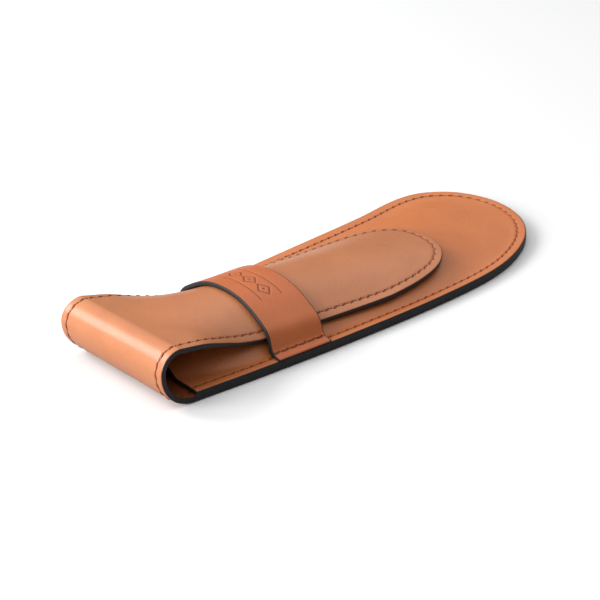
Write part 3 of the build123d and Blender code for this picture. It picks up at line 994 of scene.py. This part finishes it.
def stitch_mesh(name, frames, chosen, sink):
    """The chosen stitches of a seam, with the holes at their ends as dark discs of painted shade."""
    middle = 2 * np.array(chosen) + 1
    tubes, tube_faces = stitch_tubes(frames, middle, sink)
    holes = sorted(set(middle - 1) | set(middle + 1))
    pits, pit_faces = stitch_holes(frames, holes, sink, len(tubes))
    kinds = [0] * len(tube_faces) + [1] * len(pit_faces)
    return build(name, np.concatenate([tubes, pits]), tube_faces + pit_faces, (THREAD, HOLE_SHADE), kinds)


def place_pocket_seam(plan, depth):
    """The pocket's border from above, over the band's feet where they lie on it."""
    on_band = (plan[:, 0] > BAND_START) & (plan[:, 0] < BAND_END)
    top = np.array([band_top(x, y) if band else PANEL_TOP for (x, y), band in zip(plan, on_band)])
    return np.stack([plan[:, 0], plan[:, 1], top - depth], -1)


def make_pocket_stitches():
    plan = seam_plan(place_back, pocket_rows)
    every = range(len(plan) // 2)
    frames = seam_frames(place_pocket_seam, plan, 0, 1)
    front = stitch_mesh("pocket_stitches_front", frames, every, TOP_SINK)
    finish_piece(front, "case", "thread", "pocket_needle_thread")
    under = stitch_mesh("pocket_stitches_under", seam_frames(place_back, plan, 0, 1), every, UNDER_SINK)
    finish_piece(under, "case", "thread", "pocket_bobbin_thread")


def make_strip_stitches():
    """Stitches of the strip's edges: outside and inside, cut into the lengths of the roll."""
    rows = joined(zone_rows(0, ZONE_RUNS[-1]), [(points[1:], inward[1:]) for points, inward in leaf])
    plan = seam_plan(place_strip, rows)
    zone_of = np.searchsorted(ZONE_RUNS, plan[1::2, 0], side="right") - 1
    for face, label, node, depth in ((1, "outside", "needle", 0), (-1, "inside", "bobbin", STRIP_THICK)):
        frames = seam_frames(place_strip, plan, depth, face)
        for zone in range(ZONES):
            chosen = np.flatnonzero(zone_of == zone)
            piece = stitch_mesh(f"roll_{zone + 1}_stitches_{label}", frames, chosen, TOP_SINK)
            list(bend_span(ZONE_RUNS[zone], ZONE_RUNS[zone + 1]))
            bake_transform(piece)
            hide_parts(f"{BODIES[zone] if zone else 'mouth'}_{node}_thread")
        piece = stitch_mesh(f"flap_stitches_{label}", frames, np.flatnonzero(zone_of == ZONES), TOP_SINK)
        finish_piece(piece, "flap", "thread", f"flap_{node}_thread")


make_back()
make_panel()
make_band()
for layer_name in LAYERS:
    for zone_index in range(ZONES):
        make_zone(zone_index, layer_name)
    make_flap(layer_name)
make_pocket_stitches()
make_strip_stitches()


# ---- floor, light and camera ----
FLOOR_HALF = 3.0                           # metres
FLOOR_GAP = 0.0002
CAMERA_TURN, CAMERA_LIFT = 41, 26.5        # degrees round from the front and up
CAMERA_ASIDE, CAMERA_UP, CAMERA_AWAY = 59.35, 26.83, 700     # from the foot of the fold, mm
CAMERA_LENS, CAMERA_SENSOR = 133, 36
LIGHTS = {               # direction from the case, distance and (width, height) in metres, watts
    "left": ((-1, 0.15, 0.38), 0.9, (0.6, 0.4), 9.5),
    "behind": ((-0.5, 0.675, 0.56), 1.0, (0.5, 0.42), 6.5),
}
SKY_UP = (0.06, 0.07, 0.99)                # towards its brightest part
SKY_RAMP = {"From Min": 0.3, "From Max": 0.8, "To Min": 0.05, "To Max": 1.2}


def make_floor():
    """Pale floor, which the camera sees lighter than the case does, so that little light comes up from it."""
    shader = Shader("pale_floor", (0.85, 0.85, 0.855), 0.7)
    seen = shader.mix(shader.noise(6, 2), (0.73, 0.73, 0.735), (0.75, 0.75, 0.755))
    camera_ray = shader.node("ShaderNodeLightPath").outputs["Is Camera Ray"]
    shader.give("Base Color", shader.mix(camera_ray, (0.42, 0.42, 0.42), seen))
    shader.give("Specular IOR Level", 0.15)
    low = cad_box[0][2] - FLOOR_GAP
    corners = [(-FLOOR_HALF, -FLOOR_HALF, low), (FLOOR_HALF, -FLOOR_HALF, low),
               (FLOOR_HALF, FLOOR_HALF, low), (-FLOOR_HALF, FLOOR_HALF, low)]
    mesh = bpy.data.meshes.new("floor")
    mesh.from_pydata(corners, [], [(0, 1, 2, 3)])
    mesh.materials.append(shader.material)
    floor = bpy.data.objects.new("floor", mesh)
    bpy.context.scene.collection.objects.link(floor)


def add_light(name, direction, distance, size, power):
    """A soft rectangular light aimed at the middle of the case."""
    aim = Vector([(low + high) / 2 for low, high in zip(*cad_box)])
    lamp = bpy.data.lights.new(name, "AREA")
    lamp.shape = "RECTANGLE"
    lamp.size, lamp.size_y = size
    lamp.energy = power
    light = bpy.data.objects.new(name, lamp)
    light.location = aim + Vector(direction).normalized() * distance
    light.rotation_euler = (aim - light.location).to_track_quat("-Z", "Y").to_euler()
    bpy.context.scene.collection.objects.link(light)


def make_sky():
    """White studio: bright overhead, dim at the horizon, and plain white where the camera sees it."""
    world = bpy.data.worlds.new("studio")
    world.use_nodes = True
    tree = world.node_tree
    background = tree.nodes["Background"]
    background.inputs["Color"].default_value = (1, 1, 1, 1)
    place = tree.nodes.new("ShaderNodeTexCoord")
    height = tree.nodes.new("ShaderNodeVectorMath")
    height.operation = "DOT_PRODUCT"
    height.inputs[1].default_value = SKY_UP
    ramp = tree.nodes.new("ShaderNodeMapRange")
    ramp.interpolation_type = "SMOOTHSTEP"
    for key, value in SKY_RAMP.items():
        ramp.inputs[key].default_value = value
    ray = tree.nodes.new("ShaderNodeLightPath")
    brightest = tree.nodes.new("ShaderNodeMath")
    brightest.operation = "MAXIMUM"
    tree.links.new(place.outputs["Generated"], height.inputs[0])
    tree.links.new(height.outputs["Value"], ramp.inputs["Value"])
    tree.links.new(ramp.outputs["Result"], brightest.inputs[0])
    tree.links.new(ray.outputs["Is Camera Ray"], brightest.inputs[1])
    tree.links.new(brightest.outputs["Value"], background.inputs["Strength"])
    bpy.context.scene.world = world


def make_camera():
    turn, lift = np.radians(CAMERA_TURN), np.radians(CAMERA_LIFT)
    right = Vector((np.cos(turn), -np.sin(turn), 0))
    back = Vector((-np.sin(turn) * np.cos(lift), -np.cos(turn) * np.cos(lift), np.sin(lift)))
    up = back.cross(right)
    fold_foot = Vector((FOLD_OUT, 0, 0))
    data = bpy.data.cameras.new("camera")
    data.lens = CAMERA_LENS
    data.sensor_width = CAMERA_SENSOR
    data.clip_start = 0.01
    camera = bpy.data.objects.new("camera", data)
    camera.matrix_world = Matrix((right, up, back)).transposed().to_4x4()
    camera.location = (fold_foot + right * CAMERA_ASIDE + up * CAMERA_UP + back * CAMERA_AWAY) * MM
    bpy.context.scene.collection.objects.link(camera)
    bpy.context.scene.camera = camera


make_floor()
make_sky()
for light_name, light_settings in LIGHTS.items():
    add_light(light_name, *light_settings)
make_camera()
bpy.context.scene.view_settings.view_transform = "Standard"
